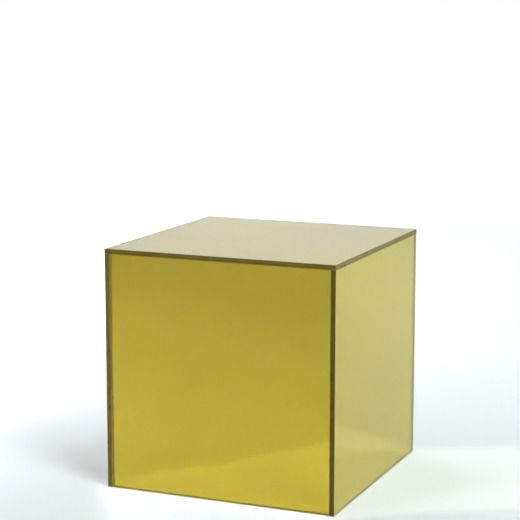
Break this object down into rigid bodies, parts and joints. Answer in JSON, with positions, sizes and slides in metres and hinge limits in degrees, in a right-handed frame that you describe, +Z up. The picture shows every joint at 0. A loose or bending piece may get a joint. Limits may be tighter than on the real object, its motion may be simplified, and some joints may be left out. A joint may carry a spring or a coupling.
{
  "type": "mirror acrylic display cube",
  "caption": "Open-bottomed cube of gold mirror acrylic sheets cemented edge to edge, used as a plinth or riser for display items.",
  "frame": {"origin": "centre of the base outline, on the surface the cube stands on", "axes": "+Z up through the lid, -Y out of the front wall, +X out of the right wall"},
  "size_m": [0.1524, 0.1524, 0.1524],
  "materials": {
    "mirror_acrylic": "polished gold-tinted acrylic over a vacuum-deposited mirror film",
    "backing_paint": "matte grey protective paint over the back of the mirror film",
    "acrylic_cement": "dried solvent cement, clear and slightly yellowed"
  },
  "bodies": {
    "root": {"top_panel": "mirror_acrylic", "front_panel": "mirror_acrylic", "rear_panel": "mirror_acrylic", "left_panel": "mirror_acrylic", "right_panel": "mirror_acrylic", "top_mirror_backing": "backing_paint", "front_mirror_backing": "backing_paint", "rear_mirror_backing": "backing_paint", "left_mirror_backing": "backing_paint", "right_mirror_backing": "backing_paint", "corner_cement_front_left": "acrylic_cement", "corner_cement_front_right": "acrylic_cement", "corner_cement_rear_left": "acrylic_cement", "corner_cement_rear_right": "acrylic_cement", "top_cement_front": "acrylic_cement", "top_cement_rear": "acrylic_cement", "top_cement_left": "acrylic_cement", "top_cement_right": "acrylic_cement"}
  },
  "joints": []
}
